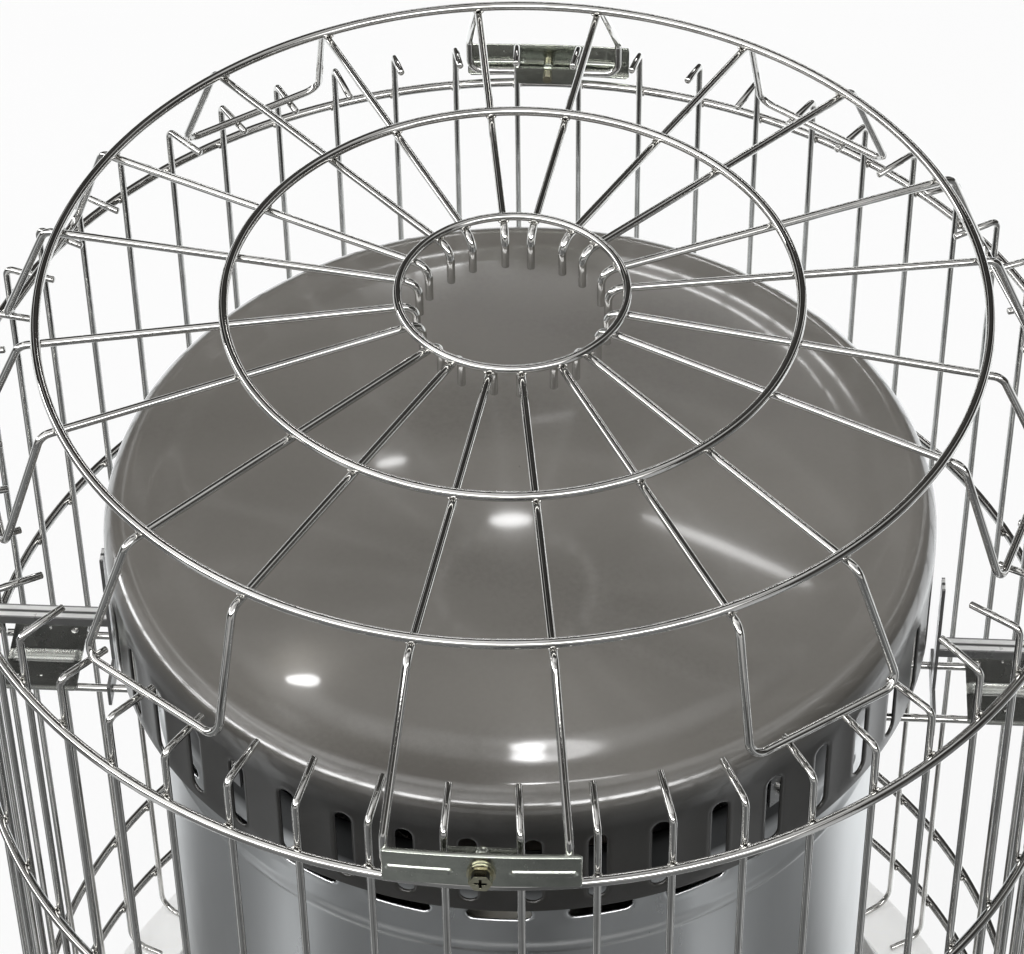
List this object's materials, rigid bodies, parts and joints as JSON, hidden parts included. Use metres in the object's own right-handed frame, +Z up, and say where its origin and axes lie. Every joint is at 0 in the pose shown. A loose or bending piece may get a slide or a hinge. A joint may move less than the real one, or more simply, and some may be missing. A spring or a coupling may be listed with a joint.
{
  "type": "paraffin heater",
  "caption": "Round convection paraffin heater: chromed wire cage and top grille round a polished casing with a slotted top plate, on a low tray.",
  "frame": {"origin": "centre of the base tray's underside, on the floor", "axes": "+Z up, -Y the front with the controls, +X to the right seen from the front"},
  "size_m": [0.4822, 0.4956, 0.586],
  "materials": {
    "chrome_wire": "bright plated",
    "mirror_steel": "mirror polished",
    "warm_grey_paint": "satin gloss heat-proof paint",
    "white_enamel": "gloss enamel",
    "zinc_plate": "bright zinc",
    "burner_steel": "heat-tinted steel",
    "steel": "plain steel",
    "dark_steel": "dark casting",
    "black_plastic": "fine grained",
    "dark_enamel": "satin",
    "red_plastic": "gloss",
    "orange_float": "gloss",
    "clear_glass": "clear",
    "mica": "mica sheet",
    "wick_cotton": "woven",
    "brass": "yellow zinc",
    "ceramic": "unglazed ceramic",
    "cell_wrap": "plain wrap"
  },
  "bodies": {
    "root": {"base_tray": "white_enamel", "fuel_tank": "white_enamel", "filler_neck": "zinc_plate", "sight_tube": "clear_glass", "wick_tube_inner": "steel", "wick_tube_outer": "steel", "shaft_bracket": "zinc_plate", "shaft_bushing": "brass", "control_housing": "dark_enamel", "rod_guide": "zinc_plate", "ignition_spring": "steel", "put_out_spring": "steel", "battery_case": "black_plastic", "battery_cells": "cell_wrap", "tip_bracket": "zinc_plate", "heat_shield": "steel", "burner_base": "dark_steel", "flame_tube_inner": "burner_steel", "flame_tube_outer": "burner_steel", "flame_spreader": "burner_steel", "chimney": "burner_steel", "chimney_window": "mica", "cross_pins": "burner_steel", "casing": "mirror_steel", "window_frame": "zinc_plate", "window_glass": "clear_glass", "heat_deflector": "steel", "plate_brackets": "steel", "bracket_screws": "zinc_plate", "top_plate": "warm_grey_paint", "front_uprights": "chrome_wire", "left_uprights": "chrome_wire", "right_uprights": "chrome_wire", "top_hoop": "chrome_wire", "shoulder_hoop": "chrome_wire", "low_hoop": "chrome_wire", "bottom_hoop": "chrome_wire", "stay_frames": "chrome_wire", "stay_rods": "chrome_wire", "stay_plates": "zinc_plate", "clamp_plates": "zinc_plate", "clamp_inner_plates": "zinc_plate", "clamp_screws": "brass", "grille_loops": "chrome_wire", "grille_outer_hoop": "chrome_wire", "grille_middle_hoop": "chrome_wire", "grille_hub_hoop": "chrome_wire"},
    "knob": {"wick_knob": "black_plastic", "control_shaft": "steel", "pinion": "brass"},
    "wick_lift": {"wick_carrier": "zinc_plate", "wick": "wick_cotton"},
    "igniter": {"ignition_button": "red_plastic", "igniter_rod": "steel", "igniter_coil": "ceramic"},
    "put_out": {"put_out_button": "black_plastic"},
    "cap": {"filler_cap": "black_plastic"},
    "float": {"fuel_float": "orange_float"},
    "lid": {"battery_lid": "black_plastic"},
    "weight": {"tip_weight": "steel"}
  },
  "joints": [
    {"name": "knob_turn", "type": "hinge", "parent": "root", "child": "knob", "pos_m": [0, -0.214, 0.084], "axis": [0, 1, 0], "range_deg": [0, 95]},
    {"name": "wick_lift", "type": "slide", "parent": "root", "child": "wick_lift", "axis": [0, 0, 1], "range_m": [0, 0.00995]},
    {"name": "igniter_push", "type": "slide", "parent": "root", "child": "igniter", "axis": [0, 1, 0], "range_m": [0, 0.012], "stiffness_N_per_m": 120, "springref_m": -0.01, "deforming": ["ignition_spring"]},
    {"name": "put_out_push", "type": "slide", "parent": "root", "child": "put_out", "axis": [0, 1, 0], "range_m": [0, 0.005], "stiffness_N_per_m": 200, "springref_m": -0.006, "deforming": ["put_out_spring"]},
    {"name": "cap_turn", "type": "hinge", "parent": "root", "child": "cap", "pos_m": [0.13554, -0.10589, 0.08], "axis": [0, 0, 1], "range_deg": [0, 90]},
    {"name": "float_rise", "type": "slide", "parent": "root", "child": "float", "axis": [0, 0, 1], "range_m": [0, 0.03]},
    {"name": "lid_swing", "type": "hinge", "parent": "root", "child": "lid", "pos_m": [0, 0.209, 0.095], "axis": [-1, 0, 0], "range_deg": [0, 90]},
    {"name": "weight_swing", "type": "hinge", "parent": "root", "child": "weight", "pos_m": [0.062, -0.118, 0.101], "axis": [0, 1, 0], "range_deg": [-15, 15]}
  ],
  "couplings": [
    {"joint": "knob_turn", "follows": "wick_lift", "rad_per_m": 166.67}
  ]
}
